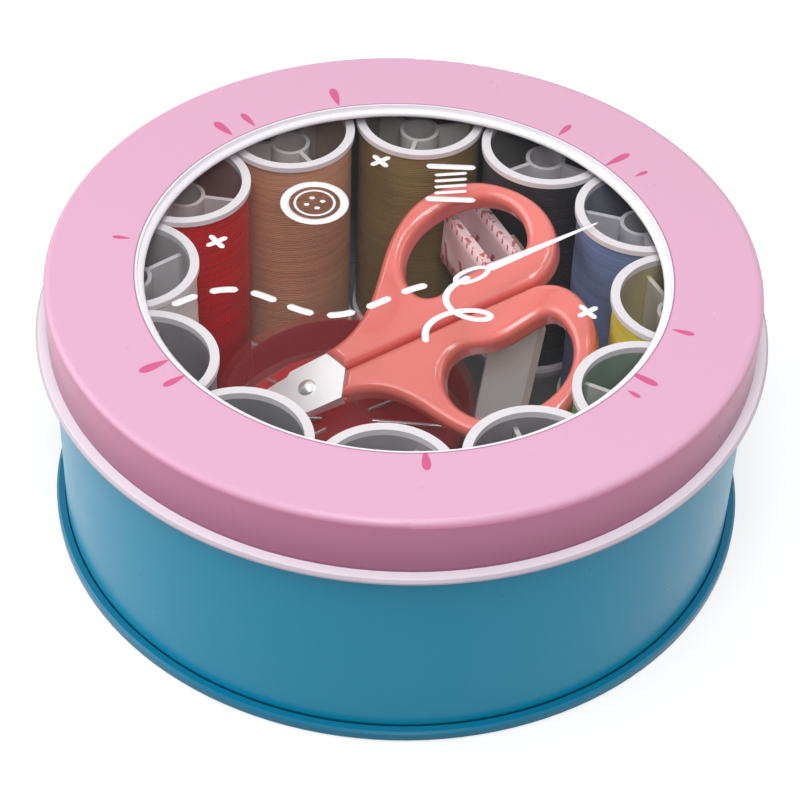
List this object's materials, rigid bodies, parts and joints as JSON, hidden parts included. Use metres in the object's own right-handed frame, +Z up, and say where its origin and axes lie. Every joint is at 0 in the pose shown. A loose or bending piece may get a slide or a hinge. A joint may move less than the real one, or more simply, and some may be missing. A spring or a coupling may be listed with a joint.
{
  "type": "sewing tin",
  "caption": "Round slip-lid sewing tin with a clear window in its lid, holding a ring of thread spools, scissors, a pin box, a coiled tape measure and a needle sleeve.",
  "frame": {"origin": "centre of the base, on the plane that the bottom seam stands on", "axes": "+Z up, +X right, +Y to the back"},
  "size_m": [0.124, 0.124, 0.0502],
  "materials": {
    "tin_body": "gloss lacquer",
    "tin_base": "gloss lacquer",
    "tin_lid": "gloss lacquer",
    "window": "clear film",
    "spool_plastic": "moulded",
    "blade_steel": "brushed",
    "handle_plastic": "glossy",
    "rivet_steel": "polished",
    "box_plastic": "clear",
    "cushion_cloth": "woven",
    "needle_steel": "polished",
    "tape_cloth": "coated cloth",
    "tip_metal": "plated",
    "sleeve_card": "matte",
    "thread_yellow": "wound thread",
    "thread_blue": "wound thread",
    "thread_black": "wound thread",
    "thread_olive": "wound thread",
    "thread_beige": "wound thread",
    "thread_red": "wound thread",
    "thread_cream": "wound thread",
    "thread_ash": "wound thread",
    "thread_slate": "wound thread",
    "thread_silver": "wound thread",
    "thread_mauve": "wound thread",
    "thread_green": "wound thread"
  },
  "bodies": {
    "tin": {"body_wall": "tin_body", "bottom_plate": "tin_base", "blade_left": "blade_steel", "handle_left": "handle_plastic", "pivot_rivet": "rivet_steel", "pin_box_dish": "box_plastic", "pin_cushion": "cushion_cloth", "needles": "needle_steel", "tape_coil": "tape_cloth", "tape_tip": "tip_metal", "needle_sleeve": "sleeve_card"},
    "lid": {"lid_shell": "tin_lid", "window_pane": "window"},
    "scissors_half": {"blade_right": "blade_steel", "handle_right": "handle_plastic"},
    "pin_cap": {"pin_box_cap": "box_plastic"},
    "reel_yellow": {"spool_yellow": "spool_plastic", "thread_yellow": "thread_yellow"},
    "reel_blue": {"spool_blue": "spool_plastic", "thread_blue": "thread_blue"},
    "reel_black": {"spool_black": "spool_plastic", "thread_black": "thread_black"},
    "reel_olive": {"spool_olive": "spool_plastic", "thread_olive": "thread_olive"},
    "reel_beige": {"spool_beige": "spool_plastic", "thread_beige": "thread_beige"},
    "reel_red": {"spool_red": "spool_plastic", "thread_red": "thread_red"},
    "reel_cream": {"spool_cream": "spool_plastic", "thread_cream": "thread_cream"},
    "reel_ash": {"spool_ash": "spool_plastic", "thread_ash": "thread_ash"},
    "reel_slate": {"spool_slate": "spool_plastic", "thread_slate": "thread_slate"},
    "reel_silver": {"spool_silver": "spool_plastic", "thread_silver": "thread_silver"},
    "reel_mauve": {"spool_mauve": "spool_plastic", "thread_mauve": "thread_mauve"},
    "reel_green": {"spool_green": "spool_plastic", "thread_green": "thread_green"}
  },
  "joints": [
    {"name": "lid_lift", "type": "slide", "parent": "tin", "child": "lid", "axis": [0, 0, 1], "range_m": [0, 0.06]},
    {"name": "scissors_open", "type": "hinge", "parent": "tin", "child": "scissors_half", "pos_m": [-0.0159, -0.002, 0.0224], "axis": [-0.335, -0.2501, 0.9084], "range_deg": [-3, 0]},
    {"name": "pin_cap_turn", "type": "hinge", "parent": "tin", "child": "pin_cap", "pos_m": [-0.0094, 0.0054, 0.012], "axis": [0, 0, 1], "continuous": true},
    {"name": "reel_yellow_turn", "type": "hinge", "parent": "tin", "child": "reel_yellow", "pos_m": [0.04637, -0.00178, 0.024], "axis": [0, 0, 1], "continuous": true},
    {"name": "reel_blue_turn", "type": "hinge", "parent": "tin", "child": "reel_blue", "pos_m": [0.04104, 0.02164, 0.024], "axis": [0, 0, 1], "continuous": true},
    {"name": "reel_black_turn", "type": "hinge", "parent": "tin", "child": "reel_black", "pos_m": [0.02473, 0.03926, 0.024], "axis": [0, 0, 1], "continuous": true},
    {"name": "reel_olive_turn", "type": "hinge", "parent": "tin", "child": "reel_olive", "pos_m": [0.00178, 0.04637, 0.024], "axis": [0, 0, 1], "continuous": true},
    {"name": "reel_beige_turn", "type": "hinge", "parent": "tin", "child": "reel_beige", "pos_m": [-0.02164, 0.04104, 0.024], "axis": [0, 0, 1], "continuous": true},
    {"name": "reel_red_turn", "type": "hinge", "parent": "tin", "child": "reel_red", "pos_m": [-0.03926, 0.02473, 0.024], "axis": [0, 0, 1], "continuous": true},
    {"name": "reel_cream_turn", "type": "hinge", "parent": "tin", "child": "reel_cream", "pos_m": [-0.04637, 0.00178, 0.024], "axis": [0, 0, 1], "continuous": true},
    {"name": "reel_ash_turn", "type": "hinge", "parent": "tin", "child": "reel_ash", "pos_m": [-0.04104, -0.02164, 0.024], "axis": [0, 0, 1], "continuous": true},
    {"name": "reel_slate_turn", "type": "hinge", "parent": "tin", "child": "reel_slate", "pos_m": [-0.02473, -0.03926, 0.024], "axis": [0, 0, 1], "continuous": true},
    {"name": "reel_silver_turn", "type": "hinge", "parent": "tin", "child": "reel_silver", "pos_m": [-0.00178, -0.04637, 0.024], "axis": [0, 0, 1], "continuous": true},
    {"name": "reel_mauve_turn", "type": "hinge", "parent": "tin", "child": "reel_mauve", "pos_m": [0.02164, -0.04104, 0.024], "axis": [0, 0, 1], "continuous": true},
    {"name": "reel_green_turn", "type": "hinge", "parent": "tin", "child": "reel_green", "pos_m": [0.03926, -0.02473, 0.024], "axis": [0, 0, 1], "continuous": true}
  ]
}
